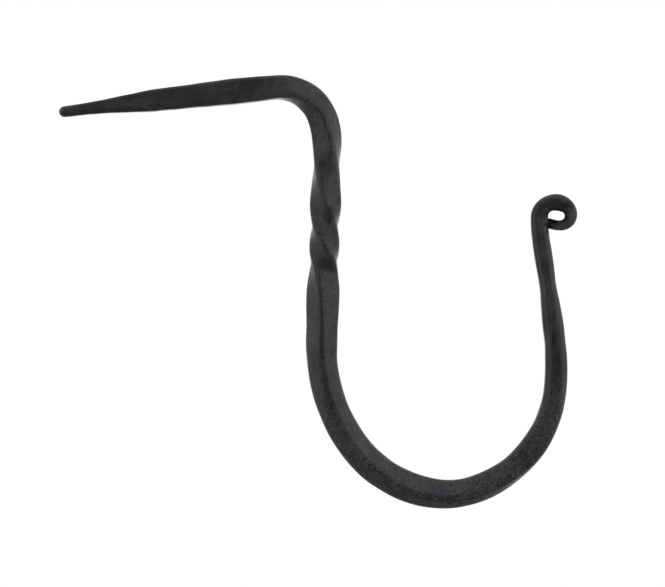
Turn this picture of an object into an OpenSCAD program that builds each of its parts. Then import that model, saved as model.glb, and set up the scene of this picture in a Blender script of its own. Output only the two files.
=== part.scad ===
// Drive-in cup hook, forged from one length of square bar.
// The bar is drawn down to a spike, bent over, twisted along the shank, swept round into a bowl,
// drawn thin up the front and curled outwards into a small scroll.
// Frame: X points away from the wall, Y to the back, Z up. The origin is on the spike's axis at
// its root, where the spike stops and the bend starts. All sizes are in millimetres and degrees.

/* [Bar] */
// Side of the square bar along the shank
bar_side = 4.9; // [4.5:0.1:5.3]
// Radius that hammering leaves on the bar's corners
bar_corner = 1.1; // [0.8:0.1:1.4]

/* [Spike] */
// Length of the spike from its blunt tip to its root
spike_length = 40.4; // [34:0.2:48]
// Angle of the spike above level at its root
spike_rise = 5.6; // [2:0.2:9]
// Height of the blunt tip
tip_height = 1.9; // [1.6:0.1:2.4]
// Thickness of the blunt tip, front to back
tip_thickness = 2.1; // [1.6:0.1:2.6]
// Length of the taper, from the tip to where the spike is nearly as high as the bar
taper_length = 17; // [14:0.5:22]
// Height of the spike at the end of the taper
spike_height = 4.1; // [3.6:0.1:4.6]

/* [Bend] */
// Radius of the bend above the shank, on the bar's centreline
bend_r = 8.5; // [7.5:0.1:10]
// Turn of the bend before it eases into the shank
bend_turn = 76; // [70:1:80]
// Radius of the shoulder that eases the bend into the shank
shoulder_r = 14.5; // [12:0.5:18]

/* [Shank] */
// Straight length of the shank below the shoulder
shank_length = 36.6; // [32:0.2:42]
// Lean of the shank's foot towards the wall
shank_lean = 1.6; // [0:0.1:3]
// Length of bar that the twist takes up, from the spike's root
twist_length = 49.6; // [44:0.2:54]
// Turn of the whole twist
twist_turn = 315; // [270:5:360]

/* [Bowl] */
// Radius of the bowl's back, below the shank
back_r = 30.8; // [28:0.2:34]
// Radius of the bowl's heel
heel_r = 22.4; // [20:0.2:25]
// Radius of the bowl's lowest part
sole_r = 16.6; // [15:0.2:19]
// Radius of the bowl's front
front_r = 22; // [20:0.2:24]
// Side of the bar at the bowl's lowest part
sole_side = 4.6; // [4.3:0.1:5]
// Roll of the square section between the bowl's heel and the upstand
bowl_roll = 45; // [30:5:60]

/* [Upstand] */
// Radius of the slow curve from the bowl's front into the upstand
upstand_r = 46; // [40:1:60]
// Straight length of the upstand below the scroll
upstand_length = 18; // [14:0.2:22]
// Thickness of the bar at the foot of the upstand
foot_side = 4.3; // [4:0.1:4.6]
// Thickness of the bar at the head of the upstand
head_side = 3.4; // [3:0.1:3.7]

/* [Scroll] */
// Radius where the bar turns over into the scroll, on the bar's centreline
turn_in_r = 2.1; // [2:0.05:2.5]
// Radius over the scroll's crown, on the bar's centreline
crown_r = 3.4; // [3:0.1:3.8]
// Radius where the scroll closes underneath, on the bar's centreline
close_r = 1.9; // [1.8:0.05:2.1]
// Height of the bar at the scroll's end
tail_side = 1.9; // [1.7:0.1:2.1]
// Distance that the scroll's end reaches in behind the upstand's edge
tail_tuck = 0.5; // [0.3:0.1:0.8]
// Gap, front to back, between the scroll's end and the upstand's bevelled edge
tail_gap = 0.1; // [0.05:0.05:0.4]

/* [Hammering] */
// Depth of the waves that the hammer leaves along the bar
hammer_depth = 0.04; // [0:0.01:0.08]
// Length of bar between hammer blows
hammer_pitch = 5.2; // [4:0.1:7]

/* [Hidden] */
iron_black = [0.13, 0.13, 0.14];

// Points round each corner of the section, and steps along the bar: fine at its ends and
// round the scroll, middling where it is bent or twisted, coarse where it is plain
corner_points = 5;
end_step = 0.25;
scroll_step = 0.42;
twist_step = 0.65;
plain_step = 1.3;

// Length of the rounding at the spike's tip and at the scroll's end
tip_round = tip_height / 2;
tail_round = tail_side / 4;
// Least share of its full size that the section keeps at an end
blunt = 0.35;
// Thickness of the scroll's end, front to back
tail_thickness = 0.72 * tail_side;
// Bevel on the upstand's head, as a share of the bar's corner radius
head_corner = 0.8;
// Distance that the scroll's end lies behind the upstand's middle: the bevel makes room for it
tail_setback = (head_side + tail_thickness) / 2 + tail_gap
    - max(0, head_corner * bar_corner - tail_tuck);
// Length of bar over which one stretch eases into the next
ease = 1;

// --- Route of the bar -------------------------------------------------------------------
// A stretch is [length, turn]. A turn to the left of the way the bar runs is positive.
function arc(r, turn) = [r * abs(turn) * PI / 180, turn];

spike_bow = 2;
heading_at_tip = spike_rise + spike_bow;
shoulder_turn = 90 + spike_rise + shank_lean - bend_turn;
back_turn = 38;
heel_turn = 44.5;
sole_turn = 26;
front_turn = 68.5;
rise_turn = 11.2;
upstand_turn = 2.6;
neck_length = 5;
neck_turn = 8.6;
turn_in_turn = 44.5;
crown_turn = 91.5;
close_turn = 149;

route = [
    [spike_length, -spike_bow],
    arc(bend_r, -bend_turn),
    arc(shoulder_r, -shoulder_turn),
    [shank_length, 0],
    arc(back_r, back_turn),
    arc(heel_r, heel_turn),
    arc(sole_r, sole_turn),
    arc(front_r, front_turn),
    arc(upstand_r, rise_turn),
    [upstand_length, upstand_turn],
    [neck_length, -neck_turn],
    arc(turn_in_r, -turn_in_turn),
    arc(crown_r, -crown_turn),
    arc(close_r, -close_turn)
];

// Distances along the bar, from the tip, at which the stretches start
function sum_before(n, column) =
    n == 0 ? 0 : sum_before(n - 1, column) + route[n - 1][column];
starts = [for (n = [0:len(route)]) sum_before(n, 0)];
root_at = starts[1];
shoulder_at = starts[2];
shank_at = starts[3];
bowl_at = starts[4];
heel_at = starts[5];
sole_at = starts[6];
front_at = starts[7];
rise_at = starts[8];
upstand_at = starts[9];
neck_at = starts[10];
scroll_at = starts[11];
crown_at = starts[12];
close_at = starts[13];
tail_at = starts[14];
twist_end = root_at + twist_length;
function between(a, b, share) = a + share * (b - a);

// A value read off a table of [distance, value] rows, eased over a length of bar
taps = [-1, -0.5, 0, 0.5, 1];
function total(list, i = 0) = i == len(list) ? 0 : list[i] + total(list, i + 1);
function eased(s, table, length = ease) =
    total([for (tap = taps) lookup(s + tap * length, table)]) / len(taps);

headings = [for (n = [0:len(route)]) [starts[n], heading_at_tip + sum_before(n, 1)]];
function heading(s) = eased(s, headings);
function along(s0, s1) =
    let (h = heading((s0 + s1) / 2)) (s1 - s0) * [cos(h), sin(h)];
function traced(list, start) =
    [for (i = 0, p = start; i < len(list);
          i = i + 1, p = p + along(list[i - 1], list[min(i, len(list) - 1)])) p];

// --- Steps along the bar ----------------------------------------------------------------
steps = [
    [0, end_step], [tip_round, end_step], [2 * tip_round, plain_step],
    [root_at - plain_step, plain_step], [root_at, twist_step],
    [bowl_at - plain_step, twist_step], [bowl_at, plain_step],
    [scroll_at - plain_step, plain_step], [scroll_at, scroll_step]
];
function stepped(s, end) =
    let (step = lookup(s, steps)) s + step / 2 > end ? [] : concat([s], stepped(s + step, end));
body_stations = concat(stepped(0, tail_at), [tail_at]);
body_path = traced(body_stations, [0, 0]);

// The tail runs straight on from the scroll, and ends behind the edge of the upstand.
scroll_point = lookup_path(scroll_at);
tail_point = body_path[len(body_path) - 1];
function lookup_path(s) = [
    lookup(s, [for (i = [0:len(body_path) - 1]) [body_stations[i], body_path[i].x]]),
    lookup(s, [for (i = [0:len(body_path) - 1]) [body_stations[i], body_path[i].y]])];
upstand_heading = heading(scroll_at - 2 * ease);
outward = [sin(upstand_heading), -cos(upstand_heading)];
tail_run = (tail_point - scroll_point) * outward - head_side / 2 + tail_tuck;
tail_heading = heading(tail_at + 2 * ease);
tail_length = -tail_run / ([cos(tail_heading), sin(tail_heading)] * outward);
end_at = tail_at + tail_length;
stations = concat(
    stepped(0, tail_at),
    [for (share = [0:0.25:0.75]) between(tail_at, end_at - tail_round, share)],
    [for (share = [0:0.25:1]) between(end_at - tail_round, end_at, share)]);
path = traced(stations, [0, 0]);
root_point = lookup_path(root_at);

// --- Section of the bar -----------------------------------------------------------------
// Rows are [distance, first side, second side, corner, flatness]. The first side stands upright
// in the spike, where the second runs front to back. The twist and the roll turn the bar over by
// three quarters, so in the upstand and the scroll it is the second side that is seen in front.
// The corner is a share of bar_corner. Flatness is 0 for a round corner and 1 for a flat bevel.
profile = [
    // the spike
    [0, tip_height, tip_thickness, 0.5, 0],
    [0.3 * taper_length, 1.15 * tip_height, 1.14 * tip_thickness, 0.45, 0],
    [0.6 * taper_length, 1.45 * tip_height, 1.43 * tip_thickness, 0.45, 0],
    [taper_length, 0.98 * spike_height, 0.93 * spike_height, 0.5, 0],
    [between(taper_length, root_at, 0.45), 1.08 * spike_height, spike_height, 0.55, 0],
    [between(taper_length, root_at, 0.63), 0.98 * bar_side, 0.94 * bar_side, 0.55, 0],
    [root_at, 0.91 * bar_side, 0.94 * bar_side, 0.65, 0],
    // the bend
    [between(root_at, shoulder_at, 0.36), 0.86 * bar_side, 0.91 * bar_side, 0.9, 0],
    [between(root_at, shoulder_at, 0.6), 0.92 * bar_side, 0.93 * bar_side, 1, 0],
    [shoulder_at, 0.93 * bar_side, 0.93 * bar_side, 1, 0],
    [between(shoulder_at, shank_at, 0.75), 0.98 * bar_side, 0.97 * bar_side, 1, 0],
    // the twisted shank
    [between(root_at, twist_end, 0.37), 0.93 * bar_side, 0.93 * bar_side, 1, 0],
    [between(root_at, twist_end, 0.54), 0.98 * bar_side, 0.98 * bar_side, 1, 0],
    [between(root_at, twist_end, 0.7), 0.95 * bar_side, 0.95 * bar_side, 1, 0],
    [between(root_at, twist_end, 0.8), 0.97 * bar_side, 0.96 * bar_side, 0.9, 0],
    [between(root_at, twist_end, 0.88), 1.02 * bar_side, 1.02 * bar_side, 0.85, 0],
    [twist_end, 1.01 * bar_side, 1.01 * bar_side, 0.95, 0.2],
    // the bowl
    [between(bowl_at, heel_at, 0.15), 1.02 * bar_side, 1.02 * bar_side, 1.12, 0.5],
    [between(bowl_at, heel_at, 0.55), 1.05 * bar_side, 1.05 * bar_side, 1.2, 0.65],
    [heel_at, 1.06 * bar_side, 1.06 * bar_side, 1.2, 0.6],
    [between(heel_at, sole_at, 0.3), 1.04 * bar_side, 1.04 * bar_side, 1.15, 0.5],
    [between(heel_at, sole_at, 0.6), bar_side, bar_side, 1, 0.3],
    [sole_at, sole_side, sole_side, 0.85, 0],
    [between(sole_at, front_at, 0.6), 0.98 * sole_side, 0.98 * sole_side, 1.15, 0],
    [between(front_at, rise_at, 0.1), 1.01 * sole_side, 1.01 * sole_side, 1.3, 0],
    [between(front_at, rise_at, 0.23), 0.97 * sole_side, 0.98 * sole_side, 1.3, 0],
    [between(front_at, rise_at, 0.35), 1.01 * sole_side, 1.01 * sole_side, 1.3, 0.1],
    [between(front_at, rise_at, 0.57), 1.02 * sole_side, 1.05 * sole_side, 1.15, 0.2],
    [between(front_at, rise_at, 0.8), 1.04 * foot_side, 1.02 * foot_side, 1.1, 0.5],
    // the upstand
    [rise_at, foot_side, foot_side, 1.1, 0.6],
    [between(rise_at, upstand_at, 0.4), foot_side, 0.98 * foot_side, 1.1, 0.7],
    [upstand_at, 0.95 * foot_side, 0.92 * foot_side, 1.05, 0.7],
    [between(upstand_at, neck_at, 0.2), 0.92 * foot_side, 0.92 * foot_side, 1, 0.7],
    [between(upstand_at, neck_at, 0.36), 1.08 * head_side, 1.06 * head_side, 0.9, 0.7],
    [between(upstand_at, neck_at, 0.48), 1.03 * head_side, 0.94 * head_side, 0.85, 0.7],
    [between(upstand_at, neck_at, 0.62), head_side, 0.91 * head_side, 0.85, 0.7],
    [between(upstand_at, neck_at, 0.74), head_side, 0.98 * head_side, 0.85, 0.7],
    [between(upstand_at, neck_at, 0.86), head_side, 1.05 * head_side, 0.85, 0.7],
    [neck_at, 0.97 * head_side, 0.96 * head_side, head_corner, 0.6],
    // the scroll
    [scroll_at, 0.94 * head_side, 0.96 * head_side, head_corner, 0.5],
    [between(crown_at, close_at, 0.3), 0.9 * head_side, 0.89 * head_side, head_corner, 0.4],
    [between(crown_at, close_at, 0.7), 0.83 * head_side, 0.93 * head_side, 0.75, 0.3],
    [close_at, 1.3 * tail_side, 1.35 * tail_side, 0.65, 0.2],
    [between(close_at, tail_at, 0.4), 1.1 * tail_side, 1.24 * tail_side, 0.55, 0],
    [between(close_at, tail_at, 0.8), 0.9 * tail_side, tail_side, 0.5, 0],
    [end_at, tail_thickness, tail_side, 0.45, 0]
];
function column(c) = [for (row = profile) [row[0], row[c]]];
first_sides = column(1);
second_sides = column(2);
corners = [for (row = profile) [row[0], row[3] * bar_corner]];
flats = column(4);

// The twist runs slow, fast and slow again: rows are [share of its length, share of its turn].
twist_pace = [
    [0, 0], [0.03, 0.005], [0.11, 0.07], [0.17, 0.115], [0.29, 0.18], [0.35, 0.22], [0.41, 2 / 7],
    [0.55, 3 / 7], [0.64, 4 / 7], [0.707, 5 / 7], [0.76, 6 / 7], [0.84, 20 / 21], [1, 1]
];
// In the bowl the bar rolls back, first slowly: rows are [distance, share of the roll].
roll_pace = [
    [heel_at, 0], [sole_at, 0.24], [between(front_at, rise_at, 0.1), 0.33],
    [between(front_at, rise_at, 0.45), 0.85], [between(front_at, rise_at, 0.8), 1]
];
turns = concat(
    [for (row = twist_pace) [between(root_at, twist_end, row[0]), row[1] * twist_turn]],
    [for (row = roll_pace) [row[0], twist_turn - row[1] * bowl_roll]]);

// Two trains of hammer blows cross. The slower one has this many blows to one of the other.
slow_blows = 0.62;
// Phase of the waves in the second side, against those in the first
side_phase = 130;
function wave(s, phase) =
    let (blows = 360 * s / hammer_pitch)
    hammer_depth * (sin(blows + phase) + sin(slow_blows * blows + 3 * phase));
function rounded_end(x, length) =
    x >= length ? 1 : max(blunt, sqrt(1 - pow(1 - max(x, 0) / length, 2)));
function size_at(s) = min(rounded_end(s, tip_round), rounded_end(end_at - s, tail_round));

function spun(p, angle) =
    [p.x * cos(angle) - p.y * sin(angle), p.x * sin(angle) + p.y * cos(angle)];
// One corner of the section, drawn in the first quadrant: half is half of each side.
function corner(half, r, flat) =
    [for (k = [0:corner_points - 1])
        let (share = k / (corner_points - 1))
        half - [r, r] + r * ((1 - flat) * [cos(90 * share), sin(90 * share)]
                             + flat * [1 - share, share])];
function section(side_1, side_2, r, flat) =
    [for (quarter = [0:3])
        let (half = quarter % 2 == 0 ? [side_1, side_2] / 2 : [side_2, side_1] / 2)
        each [for (p = corner(half, r, flat)) spun(p, 90 * quarter)]];

function ring(i) =
    let (
        s = stations[i],
        size = size_at(s),
        side_1 = eased(s, first_sides) + wave(s, 0),
        side_2 = eased(s, second_sides) + wave(s, side_phase),
        turn = eased(s, turns, 2 * ease),
        set_back = tail_setback * eased(s, [[crown_at, 0], [tail_at, 1]]),
        across = heading(s) + 90,
        place = path[i] - root_point
    )
    [for (p = section(side_1, side_2, eased(s, corners), eased(s, flats)))
        let (q = size * spun(p, turn))
        [place.x + q.x * cos(across), set_back + q.y, place.y + q.x * sin(across)]];

// --- The forged bar ---------------------------------------------------------------------
module hook() {
    around = 4 * corner_points;
    last = len(stations) - 1;
    skin = [for (i = [0:last - 1], k = [0:around - 1])
        let (a = i * around + k, b = i * around + (k + 1) % around)
        each [[a, b, a + around], [b, b + around, a + around]]];
    tip_face = [[for (k = [around - 1:-1:0]) k]];
    tail_face = [[for (k = [0:around - 1]) last * around + k]];
    color(iron_black)
        polyhedron([for (i = [0:last]) each ring(i)], concat(skin, tip_face, tail_face));
}

hook();
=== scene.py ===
import math
import bmesh
import bpy
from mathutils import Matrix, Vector


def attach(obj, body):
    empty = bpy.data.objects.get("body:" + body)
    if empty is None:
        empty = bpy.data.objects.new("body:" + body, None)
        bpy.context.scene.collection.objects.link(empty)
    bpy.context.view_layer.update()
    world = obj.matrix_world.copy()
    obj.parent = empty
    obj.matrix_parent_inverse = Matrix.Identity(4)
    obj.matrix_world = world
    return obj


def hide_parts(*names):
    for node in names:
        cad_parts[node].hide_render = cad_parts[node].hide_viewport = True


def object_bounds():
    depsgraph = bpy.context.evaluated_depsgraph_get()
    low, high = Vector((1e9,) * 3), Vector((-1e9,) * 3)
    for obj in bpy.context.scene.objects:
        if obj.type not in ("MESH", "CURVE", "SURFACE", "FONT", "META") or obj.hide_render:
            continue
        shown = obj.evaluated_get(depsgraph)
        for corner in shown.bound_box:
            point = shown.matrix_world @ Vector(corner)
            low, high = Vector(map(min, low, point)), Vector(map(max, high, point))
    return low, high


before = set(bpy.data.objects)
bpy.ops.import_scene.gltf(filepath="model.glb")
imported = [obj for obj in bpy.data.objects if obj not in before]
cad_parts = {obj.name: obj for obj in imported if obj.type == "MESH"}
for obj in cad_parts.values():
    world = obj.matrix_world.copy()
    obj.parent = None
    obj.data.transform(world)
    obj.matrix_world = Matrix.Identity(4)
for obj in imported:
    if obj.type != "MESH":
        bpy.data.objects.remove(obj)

cad_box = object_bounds()


# ------------------------------------------------------------------------------------------
# Camera. A long lens, square on to the hook's flat side, with the spike to the left. It stands
# so far off that the near and the far edges of the bar look alike in size.

MM = 0.001
VIEW_WIDTH = 123.7 * MM
LENS_MM = 200.0
SENSOR_MM = 36.0

view_x, view_z = 10.7 * MM, -38.3 * MM
view_distance = VIEW_WIDTH * LENS_MM / SENSOR_MM

camera_data = bpy.data.cameras.new("camera")
camera_data.lens = LENS_MM
camera_data.sensor_width = SENSOR_MM
camera_data.clip_start = 0.01
camera_data.clip_end = 20
camera = bpy.data.objects.new("camera", camera_data)
camera.location = (view_x, -view_distance, view_z)
camera.rotation_euler = (math.radians(90), 0, 0)
bpy.context.scene.collection.objects.link(camera)
bpy.context.scene.camera = camera
bpy.context.scene.view_settings.view_transform = "Standard"


# ------------------------------------------------------------------------------------------
# Hook. One length of square mild steel bar, hot forged: tapered, twisted, bent and scrolled.
# The solid gives its form. The smith's flats and the scale are worked into a finer skin here.

def linear(hex_colour):
    """An sRGB hex value, such as "2A2A2C", as linear red, green, blue and alpha."""
    channels = [int(hex_colour[i:i + 2], 16) / 255 for i in (0, 2, 4)]
    return [c / 12.92 if c <= 0.04045 else ((c + 0.055) / 1.055) ** 2.4 for c in channels] + [1.0]


def add_node(tree, kind, settings=(), links=()):
    """Adds a node to a tree. Settings are its attributes by name, or its inputs by number or
    name, and links are the outputs that feed its inputs."""
    node = tree.nodes.new(kind)
    for key, value in dict(settings).items():
        if isinstance(key, str) and hasattr(node, key):
            setattr(node, key, value)
        else:
            node.inputs[key].default_value = value
    for key, source in dict(links).items():
        tree.links.new(source, node.inputs[key])
    return node


# Hot-rolled mild steel, blackened in the fire and rubbed with beeswax while warm: a nearly black
# scale under a thin clear skin with a faint blue sheen, in patches of brown wax and heat violet.
# The spike and the upstand were rubbed smooth, and show draw marks along the bar and curved
# smears of wax. The twist keeps its scale in clumps. The bowl was last in the fire: its scale
# is coarse, and pitted where flakes came off.
FIRE_BLACK = linear("1C1C1D")
SCALE_GREY = linear("48484A")
WAX_BROWN = linear("34322F")
HEAT_VIOLET = linear("2D2D32")
SMEAR_GREY = linear("444444")
BLUE_SHEEN = linear("F1F2FF")
WAX_IOR = 1.34

# Sizes of the patterns. Real grain and draw marks are finer, and are drawn wide enough to show.
SCALE_GRAIN_MM = 0.45
SCALE_PIT_MM = 0.95
SCALE_CLOUD_MM = 5.0
WAX_PATCH_MM = 3.2
SMEAR_MM = 4.0
CLUMP_MM = 2.5
DRAW_MARK_MM = 0.6
GRAIN_DEPTH_MM = 0.2
DRAW_DEPTH_MM = 0.05
DRAWN_OUT = 0.08
GRAIN_NOISE_ROUGHNESS, CLOUD_NOISE_ROUGHNESS = 0.65, 0.55
PIT_SMOOTHNESS = 0.3
WAX_SWIRL, SMEAR_SWIRL = 0.6, 1.6
CLOUDS_IN_MOTTLE = 0.25
PITS_IN_RELIEF = 0.4

# Where the scale is coarse: by height in the bowl, in clumps round the twist, and in the scroll.
# Draw marks turn from along the spike to along the shank between the last two values.
SMOOTH_SHARE, TWIST_SHARE = 0.05, 0.75
SMOOTH_ABOVE_MM, COARSE_BELOW_MM = -48.0, -63.0
TWIST_X_MM, TWIST_NEAR_MM, TWIST_FAR_MM = 8.5, 6.0, 9.5
SCROLL_SPOT = (53.2, -23.6, 2.6, 2.6, 0.6)
SPIKE_ENDS_MM, SHANK_STARTS_MM = -2, 2

# The level at which each pattern starts, the one at which it is full, and its share when full.
CLUMP_EDGES = (0.42, 0.58)
FLAKE_EDGES = (0.4, 0.62)
CLOUD_EDGES = (0.35, 0.65)
RUBBED_SHARES = (0.12, 0.65)
WAX_EDGES, WAX_SHARE = (0.5, 0.66), 0.7
VIOLET_EDGES, VIOLET_SHARE = (0.34, 0.48), 0.6
SMEAR_MIDDLE, SMEAR_EDGE = 0.5, 0.06
DRAW_EDGES, DRAW_SHARE = (0.54, 0.7), 0.5

RUBBED_ROUGHNESS = 0.19
SCALE_ROUGHNESS = (0.18, 0.34)
# The spots of painted shade are rough and keep little gloss, so they render darker still.
PAINTED_SHADE_ROUGHNESS = 0.8
WAXED_SPECULAR, PAINTED_SHADE_SPECULAR = 0.5, 0.1

# Stains, painted shade and painted light, each with its centre (X, Z), its half width and half
# height, all in mm, and its share. The painted shade is black and dull, the painted light is pale
# grey, and the stains stay glossy.
STAIN_EDGE_MM = 1.3
STAIN_SPREAD_MM = 1.8
PAINTED_SHADE_BLACK = linear("0C0C0C")
PAINTED_LIGHT_GREY = linear("4B4A48")
# Painted shade, darkening the rim of the scroll's eye, the corner at its end, its crown, the
# inside of the bend, the shank's face toward the wall and the spike's lower edge, and dark
# patches on the twist.
PAINTED_SHADE_SPOTS = (
    (52.3, -23.9, 1.45, 0.95, 0.9),    # the rim of the scroll's eye
    (50.75, -25.9, 0.4, 0.75, 0.9),    # the corner where the scroll's end meets the upstand
    (52.3, -21.9, 1.9, 0.7, 0.6),      # the crown, over the eye
    (6.0, -7.0, 1.2, 2.6, 0.3),        # the inside of the bend
    (6.2, -37.0, 0.8, 4.5, 0.2),       # the shank's face toward the wall
    (9.3, -14.2, 1.0, 0.9, 0.35),      # dark patches on the twist
    (10.3, -23.6, 0.85, 0.9, 0.45),
    (10.3, -33.6, 0.9, 0.5, 0.25),
    (-27.0, -4.15, 3.0, 0.32, 0.5),    # the lower edge of the spike
    (-20.0, -3.7, 3.2, 0.32, 0.5),
    (-13.5, -3.15, 2.5, 0.32, 0.25),
    (-38.0, -4.9, 1.8, 0.32, 0.4),
)
WAX_SPOTS = ((-16.9, -2.2, 1.4, 0.9, 0.9), (-34.0, -3.6, 1.5, 0.4, 0.7))
VIOLET_SPOTS = ((-23.2, -1.9, 1.4, 0.5, 0.9), (-12.4, -2.6, 1.6, 0.4, 0.7))
# Painted light, lightening the crown of the bend and the scroll's front and underside, and a
# paler patch on the twist.
PAINTED_LIGHT_SPOTS = (
    (2.9, -0.6, 1.5, 0.8, 0.3),        # the crown of the bend
    (55.5, -24.6, 0.7, 1.1, 0.8),      # the front and the underside of the scroll
    (53.6, -26.2, 1.0, 0.4, 0.5),
    (9.4, -26.1, 0.9, 0.6, 0.4),       # a paler patch on the twist
)


def spot_share(tree, place, spots):
    """How much of each place lies in the spots: full inside a spot, and none at twice its size.
    """
    total = None
    for x, z, half_width, half_height, share in spots:
        spot = add_node(tree, "ShaderNodeVectorMath",
                        {"operation": "SUBTRACT", 1: (x * MM, 0.0, z * MM)},
                        {0: place}).outputs[0]
        spot = add_node(tree, "ShaderNodeVectorMath",
                        {"operation": "MULTIPLY",
                         1: (1 / (half_width * MM), 0.0, 1 / (half_height * MM))},
                        {0: spot}).outputs[0]
        spot = add_node(tree, "ShaderNodeVectorMath", {"operation": "LENGTH"},
                        {0: spot}).outputs["Value"]
        spot = add_node(tree, "ShaderNodeMapRange",
                        {"From Min": 1.0, "From Max": 2.0, "To Min": share, "To Max": 0.0},
                        {"Value": spot}).outputs["Result"]
        if total is not None:
            spot = add_node(tree, "ShaderNodeMath", {"operation": "MAXIMUM"},
                            {0: total, 1: spot}).outputs[0]
        total = spot
    return total


def waxed_iron_material():
    material = bpy.data.materials.new("waxed_black_iron")
    material.use_nodes = True
    tree = material.node_tree
    tree.nodes.clear()
    place = add_node(tree, "ShaderNodeTexCoord").outputs["Object"]
    across, _, up = add_node(tree, "ShaderNodeSeparateXYZ", {}, {0: place}).outputs

    # how coarse the scale is here
    bowl = add_node(tree, "ShaderNodeMapRange",
                    {"From Min": SMOOTH_ABOVE_MM * MM, "From Max": COARSE_BELOW_MM * MM,
                     "To Min": SMOOTH_SHARE}, {"Value": up}).outputs["Result"]
    from_twist = add_node(tree, "ShaderNodeMath", {"operation": "SUBTRACT", 1: TWIST_X_MM * MM},
                          {0: across}).outputs[0]
    from_twist = add_node(tree, "ShaderNodeMath", {"operation": "ABSOLUTE"},
                          {0: from_twist}).outputs[0]
    on_twist = add_node(tree, "ShaderNodeMapRange",
                        {"From Min": TWIST_NEAR_MM * MM, "From Max": TWIST_FAR_MM * MM,
                         "To Min": TWIST_SHARE, "To Max": 0.0},
                        {"Value": from_twist}).outputs["Result"]
    clumps = add_node(tree, "ShaderNodeTexNoise",
                      {"Scale": 1 / (CLUMP_MM * MM), "Detail": 2.0},
                      {"Vector": place}).outputs["Fac"]
    clumps = add_node(tree, "ShaderNodeMapRange",
                      {"From Min": CLUMP_EDGES[0], "From Max": CLUMP_EDGES[1]},
                      {"Value": clumps}).outputs["Result"]
    twist = add_node(tree, "ShaderNodeMath", {"operation": "MULTIPLY"},
                     {0: on_twist, 1: clumps}).outputs[0]
    on_scroll = spot_share(tree, place, (SCROLL_SPOT,))
    coarseness = add_node(tree, "ShaderNodeMath", {"operation": "MAXIMUM"},
                          {0: bowl, 1: twist}).outputs[0]
    coarseness = add_node(tree, "ShaderNodeMath", {"operation": "MAXIMUM"},
                          {0: coarseness, 1: on_scroll}).outputs[0]
    smoothness = add_node(tree, "ShaderNodeMath", {"operation": "SUBTRACT", 0: 1.0},
                          {1: coarseness}).outputs[0]

    # the scale: its grain, its pits, and clouds where it is thicker
    grain = add_node(tree, "ShaderNodeTexNoise",
                     {"Scale": 1 / (SCALE_GRAIN_MM * MM), "Detail": 3.0,
                      "Roughness": GRAIN_NOISE_ROUGHNESS},
                     {"Vector": place}).outputs["Fac"]
    pits = add_node(tree, "ShaderNodeTexVoronoi",
                    {"feature": "SMOOTH_F1", "Scale": 1 / (SCALE_PIT_MM * MM),
                     "Smoothness": PIT_SMOOTHNESS}, {"Vector": place}).outputs["Distance"]
    clouds = add_node(tree, "ShaderNodeTexNoise",
                      {"Scale": 1 / (SCALE_CLOUD_MM * MM), "Detail": 4.0,
                       "Roughness": CLOUD_NOISE_ROUGHNESS},
                      {"Vector": place}).outputs["Fac"]
    mottle = add_node(tree, "ShaderNodeMix", {"data_type": "FLOAT", 0: CLOUDS_IN_MOTTLE},
                      {2: grain, 3: clouds}).outputs[0]
    flakes = add_node(tree, "ShaderNodeMapRange",
                      {"From Min": FLAKE_EDGES[0], "From Max": FLAKE_EDGES[1]},
                      {"Value": mottle}).outputs["Result"]
    rubbed = add_node(tree, "ShaderNodeMapRange",
                      {"From Min": CLOUD_EDGES[0], "From Max": CLOUD_EDGES[1],
                       "To Min": RUBBED_SHARES[0], "To Max": RUBBED_SHARES[1]},
                      {"Value": clouds}).outputs["Result"]
    scale_share = add_node(tree, "ShaderNodeMix", {"data_type": "FLOAT"},
                           {0: coarseness, 2: rubbed, 3: flakes}).outputs[0]

    # the wax: brown where it gathers, pale along the edges of its smears
    patches = add_node(tree, "ShaderNodeTexNoise",
                       {"Scale": 1 / (WAX_PATCH_MM * MM), "Detail": 2.0,
                        "Distortion": WAX_SWIRL},
                       {"Vector": place}).outputs["Fac"]
    wax_share = add_node(tree, "ShaderNodeMapRange",
                         {"From Min": WAX_EDGES[0], "From Max": WAX_EDGES[1],
                          "To Max": WAX_SHARE},
                         {"Value": patches}).outputs["Result"]
    violet_share = add_node(tree, "ShaderNodeMapRange",
                            {"From Min": VIOLET_EDGES[0], "From Max": VIOLET_EDGES[1],
                             "To Min": VIOLET_SHARE, "To Max": 0.0},
                            {"Value": patches}).outputs["Result"]
    swirls = add_node(tree, "ShaderNodeTexNoise",
                      {"Scale": 1 / (SMEAR_MM * MM), "Detail": 2.0, "Distortion": SMEAR_SWIRL},
                      {"Vector": place}).outputs["Fac"]
    from_edge = add_node(tree, "ShaderNodeMath", {"operation": "SUBTRACT", 1: SMEAR_MIDDLE},
                         {0: swirls}).outputs[0]
    from_edge = add_node(tree, "ShaderNodeMath", {"operation": "ABSOLUTE"},
                         {0: from_edge}).outputs[0]
    smear_edge = add_node(tree, "ShaderNodeMapRange",
                          {"From Max": SMEAR_EDGE, "To Min": 1.0, "To Max": 0.0},
                          {"Value": from_edge}).outputs["Result"]
    smear_edge = add_node(tree, "ShaderNodeMath", {"operation": "MULTIPLY"},
                          {0: smear_edge, 1: wax_share}).outputs[0]

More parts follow.
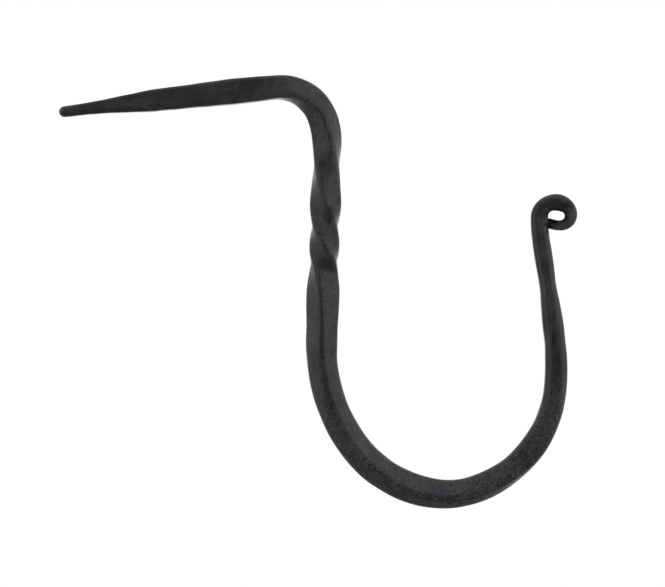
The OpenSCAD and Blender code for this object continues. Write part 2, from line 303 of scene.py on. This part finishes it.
    # draw marks: along X on the spike, along Z on the shank and the upstand
    on_spike = add_node(tree, "ShaderNodeMapRange",
                        {"From Min": SHANK_STARTS_MM * MM, "From Max": SPIKE_ENDS_MM * MM},
                        {"Value": across}).outputs["Result"]
    drawn = add_node(tree, "ShaderNodeMix",
                     {"data_type": "VECTOR", 4: (1.0, 1.0, DRAWN_OUT), 5: (DRAWN_OUT, 1.0, 1.0)},
                     {0: on_spike}).outputs[1]
    drawn = add_node(tree, "ShaderNodeVectorMath", {"operation": "MULTIPLY"},
                     {0: place, 1: drawn}).outputs[0]
    draw_marks = add_node(tree, "ShaderNodeTexNoise",
                          {"Scale": 1 / (DRAW_MARK_MM * MM), "Detail": 2.0},
                          {"Vector": drawn}).outputs["Fac"]
    lines = add_node(tree, "ShaderNodeMapRange",
                     {"From Min": DRAW_EDGES[0], "From Max": DRAW_EDGES[1],
                      "To Max": DRAW_SHARE},
                     {"Value": draw_marks}).outputs["Result"]
    pale = add_node(tree, "ShaderNodeMath", {"operation": "MAXIMUM"},
                    {0: smear_edge, 1: lines}).outputs[0]
    smear_share = add_node(tree, "ShaderNodeMath", {"operation": "MULTIPLY"},
                           {0: pale, 1: smoothness}).outputs[0]

    # the stains, the painted shade and the painted light, with ragged edges
    ragged = add_node(tree, "ShaderNodeTexNoise",
                      {"Scale": 1 / (STAIN_EDGE_MM * MM), "Detail": 3.0},
                      {"Vector": place}).outputs["Color"]
    ragged = add_node(tree, "ShaderNodeVectorMath",
                      {"operation": "SUBTRACT", 1: (0.5, 0.5, 0.5)}, {0: ragged}).outputs[0]
    ragged = add_node(tree, "ShaderNodeVectorMath",
                      {"operation": "MULTIPLY_ADD", 1: (STAIN_SPREAD_MM * MM,) * 3},
                      {0: ragged, 2: place}).outputs[0]
    painted_shade = spot_share(tree, ragged, PAINTED_SHADE_SPOTS)
    wax_share = add_node(tree, "ShaderNodeMath", {"operation": "MAXIMUM"},
                         {0: wax_share, 1: spot_share(tree, ragged, WAX_SPOTS)}).outputs[0]
    violet_share = add_node(tree, "ShaderNodeMath", {"operation": "MAXIMUM"},
                            {0: violet_share, 1: spot_share(tree, ragged, VIOLET_SPOTS)}).outputs[0]

    # colour, from the iron outwards
    iron = add_node(tree, "ShaderNodeMix", {"data_type": "RGBA", 6: FIRE_BLACK, 7: SCALE_GREY},
                    {0: scale_share}).outputs[2]
    waxed = add_node(tree, "ShaderNodeMix", {"data_type": "RGBA", 7: WAX_BROWN},
                     {0: wax_share, 6: iron}).outputs[2]
    heated = add_node(tree, "ShaderNodeMix", {"data_type": "RGBA", 7: HEAT_VIOLET},
                      {0: violet_share, 6: waxed}).outputs[2]
    smeared = add_node(tree, "ShaderNodeMix", {"data_type": "RGBA", 7: SMEAR_GREY},
                       {0: smear_share, 6: heated}).outputs[2]
    # painted light: pale spots on the crown of the bend and on the scroll, and a paler patch on
    # the twist
    paled = add_node(tree, "ShaderNodeMix", {"data_type": "RGBA", 7: PAINTED_LIGHT_GREY},
                     {0: spot_share(tree, ragged, PAINTED_LIGHT_SPOTS), 6: smeared}).outputs[2]
    # painted shade: black spots in the scroll, in the bend, on the shank and the twist, and along
    # the spike's lower edge
    colour = add_node(tree, "ShaderNodeMix", {"data_type": "RGBA", 7: PAINTED_SHADE_BLACK},
                      {0: painted_shade, 6: paled}).outputs[2]

    # gloss, which the painted shade takes away, and relief
    scale_roughness = add_node(tree, "ShaderNodeMapRange",
                               {"From Min": CLOUD_EDGES[0], "From Max": CLOUD_EDGES[1],
                                "To Min": SCALE_ROUGHNESS[0], "To Max": SCALE_ROUGHNESS[1]},
                               {"Value": mottle}).outputs["Result"]
    waxed_roughness = add_node(tree, "ShaderNodeMix",
                               {"data_type": "FLOAT", 2: RUBBED_ROUGHNESS},
                               {0: coarseness, 3: scale_roughness}).outputs[0]
    roughness = add_node(tree, "ShaderNodeMix", {"data_type": "FLOAT", 3: PAINTED_SHADE_ROUGHNESS},
                         {0: painted_shade, 2: waxed_roughness}).outputs[0]
    specular = add_node(tree, "ShaderNodeMapRange",
                        {"To Min": WAXED_SPECULAR, "To Max": PAINTED_SHADE_SPECULAR},
                        {"Value": painted_shade}).outputs["Result"]
    drawn_bump = add_node(tree, "ShaderNodeBump", {"Distance": DRAW_DEPTH_MM * MM},
                          {"Height": draw_marks, "Strength": smoothness}).outputs["Normal"]
    relief = add_node(tree, "ShaderNodeMix", {"data_type": "FLOAT", 0: PITS_IN_RELIEF},
                      {2: grain, 3: pits}).outputs[0]
    bump = add_node(tree, "ShaderNodeBump", {"Distance": GRAIN_DEPTH_MM * MM},
                    {"Height": relief, "Strength": coarseness,
                     "Normal": drawn_bump}).outputs["Normal"]
    shader = add_node(tree, "ShaderNodeBsdfPrincipled",
                      {"Metallic": 0.0, "IOR": WAX_IOR, "Specular Tint": BLUE_SHEEN},
                      {"Base Color": colour, "Roughness": roughness, "Normal": bump,
                       "Specular IOR Level": specular}).outputs["BSDF"]
    add_node(tree, "ShaderNodeOutputMaterial", {}, {"Surface": shader})
    return material


HAMMER_FLAT_MM = 4.6
HAMMER_DEPTH_MM = 0.05
FLAT_SMOOTHNESS = 0.55
FLAT_MIDDLE, PIT_MIDDLE = 0.45, 0.5
SKIN_PIT_MM = 1.1
SKIN_PIT_DEPTH_MM = 0.02
SKIN_LEVEL = 2
SKIN_SEED = 7
MERGE_MM = 0.0005
QUAD_ANGLE = math.radians(60)


def forged_skin_tree():
    """Geometry Nodes: refines the solid's skin, then works the hammer's flats and the scale's
    pits into it along its normals."""
    tree = bpy.data.node_groups.new("forged_skin", "GeometryNodeTree")
    tree.is_modifier = True
    face = tree.interface
    face.new_socket("Geometry", in_out="INPUT", socket_type="NodeSocketGeometry")
    for name in ("Flat Size", "Hammer Depth", "Pit Size", "Pit Depth"):
        face.new_socket(name, in_out="INPUT", socket_type="NodeSocketFloat")
    face.new_socket("Skin Level", in_out="INPUT", socket_type="NodeSocketInt")
    face.new_socket("Seed", in_out="INPUT", socket_type="NodeSocketInt")
    face.new_socket("Material", in_out="INPUT", socket_type="NodeSocketMaterial")
    face.new_socket("Geometry", in_out="OUTPUT", socket_type="NodeSocketGeometry")
    given = add_node(tree, "NodeGroupInput").outputs

    skin = add_node(tree, "GeometryNodeSubdivisionSurface", {},
                    {"Mesh": given["Geometry"], "Level": given["Skin Level"]}).outputs["Mesh"]
    place = add_node(tree, "GeometryNodeInputPosition").outputs[0]
    normal = add_node(tree, "GeometryNodeInputNormal").outputs[0]
    flat_count = add_node(tree, "ShaderNodeMath", {"operation": "DIVIDE", 0: 1.0},
                          {1: given["Flat Size"]}).outputs[0]
    flats = add_node(tree, "ShaderNodeTexVoronoi",
                     {"voronoi_dimensions": "4D", "feature": "SMOOTH_F1",
                      "Smoothness": FLAT_SMOOTHNESS},
                     {"Vector": place, "Scale": flat_count,
                      "W": given["Seed"]}).outputs["Distance"]
    pit_count = add_node(tree, "ShaderNodeMath", {"operation": "DIVIDE", 0: 1.0},
                         {1: given["Pit Size"]}).outputs[0]
    pits = add_node(tree, "ShaderNodeTexNoise", {"noise_dimensions": "4D", "Detail": 2.0},
                    {"Vector": place, "Scale": pit_count, "W": given["Seed"]}).outputs[0]
    heights = []
    for pattern, middle, depth in ((flats, FLAT_MIDDLE, given["Hammer Depth"]),
                                   (pits, PIT_MIDDLE, given["Pit Depth"])):
        level = add_node(tree, "ShaderNodeMath", {"operation": "SUBTRACT", 1: middle},
                         {0: pattern}).outputs[0]
        heights.append(add_node(tree, "ShaderNodeMath", {"operation": "MULTIPLY"},
                                {0: level, 1: depth}).outputs[0])
    height = add_node(tree, "ShaderNodeMath", {"operation": "ADD"},
                      {0: heights[0], 1: heights[1]}).outputs[0]
    push = add_node(tree, "ShaderNodeVectorMath", {"operation": "SCALE"},
                    {0: normal, "Scale": height}).outputs[0]
    worked = add_node(tree, "GeometryNodeSetPosition", {},
                      {"Geometry": skin, "Offset": push}).outputs[0]
    smooth = add_node(tree, "GeometryNodeSetShadeSmooth", {}, {0: worked}).outputs[0]
    real = add_node(tree, "GeometryNodeRealizeInstances", {}, {0: smooth}).outputs[0]
    dressed = add_node(tree, "GeometryNodeSetMaterial", {},
                       {"Geometry": real, "Material": given["Material"]}).outputs[0]
    add_node(tree, "NodeGroupOutput", {}, {0: dressed})
    return tree


def merged_copy(node):
    """A copy of a solid's mesh with its loose triangles joined up into quads."""
    mesh = node.data.copy()
    work = bmesh.new()
    work.from_mesh(mesh)
    bmesh.ops.remove_doubles(work, verts=work.verts, dist=MERGE_MM * MM)
    bmesh.ops.join_triangles(work, faces=work.faces, angle_face_threshold=QUAD_ANGLE,
                             angle_shape_threshold=QUAD_ANGLE)
    work.to_mesh(mesh)
    work.free()
    mesh.materials.clear()
    return mesh


blank = bpy.data.objects.new("hook_blank", merged_copy(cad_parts["hook"]))
bpy.context.scene.collection.objects.link(blank)
skin_tree = forged_skin_tree()
modifier = blank.modifiers.new("forged_skin", "NODES")
modifier.node_group = skin_tree
skin_inputs = {
    "Flat Size": HAMMER_FLAT_MM * MM, "Hammer Depth": HAMMER_DEPTH_MM * MM,
    "Pit Size": SKIN_PIT_MM * MM, "Pit Depth": SKIN_PIT_DEPTH_MM * MM,
    "Skin Level": SKIN_LEVEL, "Seed": SKIN_SEED, "Material": waxed_iron_material(),
}
for socket in skin_tree.interface.items_tree:
    if socket.in_out == "INPUT" and socket.name in skin_inputs:
        modifier[socket.identifier] = skin_inputs[socket.name]
graph = bpy.context.evaluated_depsgraph_get()
forged_mesh = bpy.data.meshes.new_from_object(blank.evaluated_get(graph))
bpy.data.objects.remove(blank)

forged_hook = bpy.data.objects.new("forged_hook", forged_mesh)
bpy.context.scene.collection.objects.link(forged_hook)
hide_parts("hook")
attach(forged_hook, "root")


# ------------------------------------------------------------------------------------------
# Studio. A pale grey floor well below the hook and a white tent all round it. A dark card round
# the lens, and another under the hook, keep what faces them dark. Wide lamps lift the right side.

FLOOR_DROP = 0.045
FLOOR_RADIUS = 0.26
FLOOR_SIDES = 96
FLOOR_GREY = linear("E2E2E0")
FLOOR_ROUGHNESS = 0.9

floor_mesh = bpy.data.meshes.new("floor")
work = bmesh.new()
bmesh.ops.create_circle(work, cap_ends=True, segments=FLOOR_SIDES, radius=FLOOR_RADIUS)
work.to_mesh(floor_mesh)
work.free()
floor = bpy.data.objects.new("floor", floor_mesh)
floor.location = (view_x, 0, cad_box[0].z - FLOOR_DROP)
bpy.context.scene.collection.objects.link(floor)
floor_paint = bpy.data.materials.new("floor_paint")
floor_paint.use_nodes = True
floor_shader = floor_paint.node_tree.nodes["Principled BSDF"]
floor_shader.inputs["Base Color"].default_value = FLOOR_GREY
floor_shader.inputs["Roughness"].default_value = FLOOR_ROUGHNESS
floor_mesh.materials.append(floor_paint)

CARD_SIDES = 64
LENS_CARD_GREY = linear("2C2C2C")
LENS_CARD_RADIUS = 0.3
LENS_CARD_PLACE = (view_x, -0.6, view_z)
LOW_CARD_GREY = linear("626262")
LOW_CARD_RADIUS = 0.2
LOW_CARD_PLACE = (view_x + 0.03, -0.155, cad_box[0].z - FLOOR_DROP * 0.9)


def dark_card(name, colour, radius, place, tilt):
    """A round card that only the hook's gloss sees, and neither the lens nor the floor."""
    mesh = bpy.data.meshes.new(name)
    work = bmesh.new()
    bmesh.ops.create_circle(work, cap_ends=True, segments=CARD_SIDES, radius=radius)
    work.to_mesh(mesh)
    work.free()
    paint = bpy.data.materials.new(name + "_paint")
    paint.use_nodes = True
    shader = paint.node_tree.nodes["Principled BSDF"]
    shader.inputs["Base Color"].default_value = colour
    shader.inputs["Roughness"].default_value = 1.0
    mesh.materials.append(paint)
    card = bpy.data.objects.new(name, mesh)
    card.location = place
    card.rotation_euler = (math.radians(tilt), 0, 0)
    card.visible_camera = False
    card.visible_diffuse = False
    card.visible_shadow = False
    bpy.context.scene.collection.objects.link(card)


dark_card("lens_card", LENS_CARD_GREY, LENS_CARD_RADIUS, LENS_CARD_PLACE, 90)
dark_card("low_card", LOW_CARD_GREY, LOW_CARD_RADIUS, LOW_CARD_PLACE, 0)

# The tent is plain white to the lens and in the hook's gloss, and lights the hook less than that.
TENT_LEVEL = 0.8
world = bpy.data.worlds.new("tent")
bpy.context.scene.world = world
world.use_nodes = True
tent_tree = world.node_tree
tent_tree.nodes.clear()
rays = add_node(tent_tree, "ShaderNodeLightPath").outputs
seen = add_node(tent_tree, "ShaderNodeMath", {"operation": "MAXIMUM"},
                {0: rays["Is Camera Ray"], 1: rays["Is Glossy Ray"]}).outputs[0]
seen = add_node(tent_tree, "ShaderNodeMath", {"operation": "MAXIMUM"},
                {0: seen, 1: rays["Is Transmission Ray"]}).outputs[0]
level = add_node(tent_tree, "ShaderNodeMapRange", {"To Min": TENT_LEVEL},
                 {"Value": seen}).outputs["Result"]
tent = add_node(tent_tree, "ShaderNodeBackground", {"Color": linear("FFFFFF")},
                {"Strength": level}).outputs[0]
add_node(tent_tree, "ShaderNodeOutputWorld", {}, {"Surface": tent})

LAMP_SIZE = 1.0
RIGHT_LAMP_PLACE = (view_x + 0.85, -0.15, view_z + 0.3)
RIGHT_LAMP_WATTS = 0.9
TOP_LAMP_PLACE = (view_x + 0.2, 0.1, view_z + 0.9)
TOP_LAMP_WATTS = 0.4


def soft_lamp(name, place, watts):
    """A wide round lamp, aimed at the middle of the hook."""
    data = bpy.data.lights.new(name, "AREA")
    data.shape = "DISK"
    data.size = LAMP_SIZE
    data.energy = watts
    lamp = bpy.data.objects.new(name, data)
    lamp.location = place
    aim = Vector((view_x, 0, view_z)) - Vector(place)
    lamp.rotation_euler = aim.to_track_quat("-Z", "Y").to_euler()
    bpy.context.scene.collection.objects.link(lamp)


soft_lamp("right_lamp", RIGHT_LAMP_PLACE, RIGHT_LAMP_WATTS)
soft_lamp("top_lamp", TOP_LAMP_PLACE, TOP_LAMP_WATTS)

bpy.context.view_layer.update()
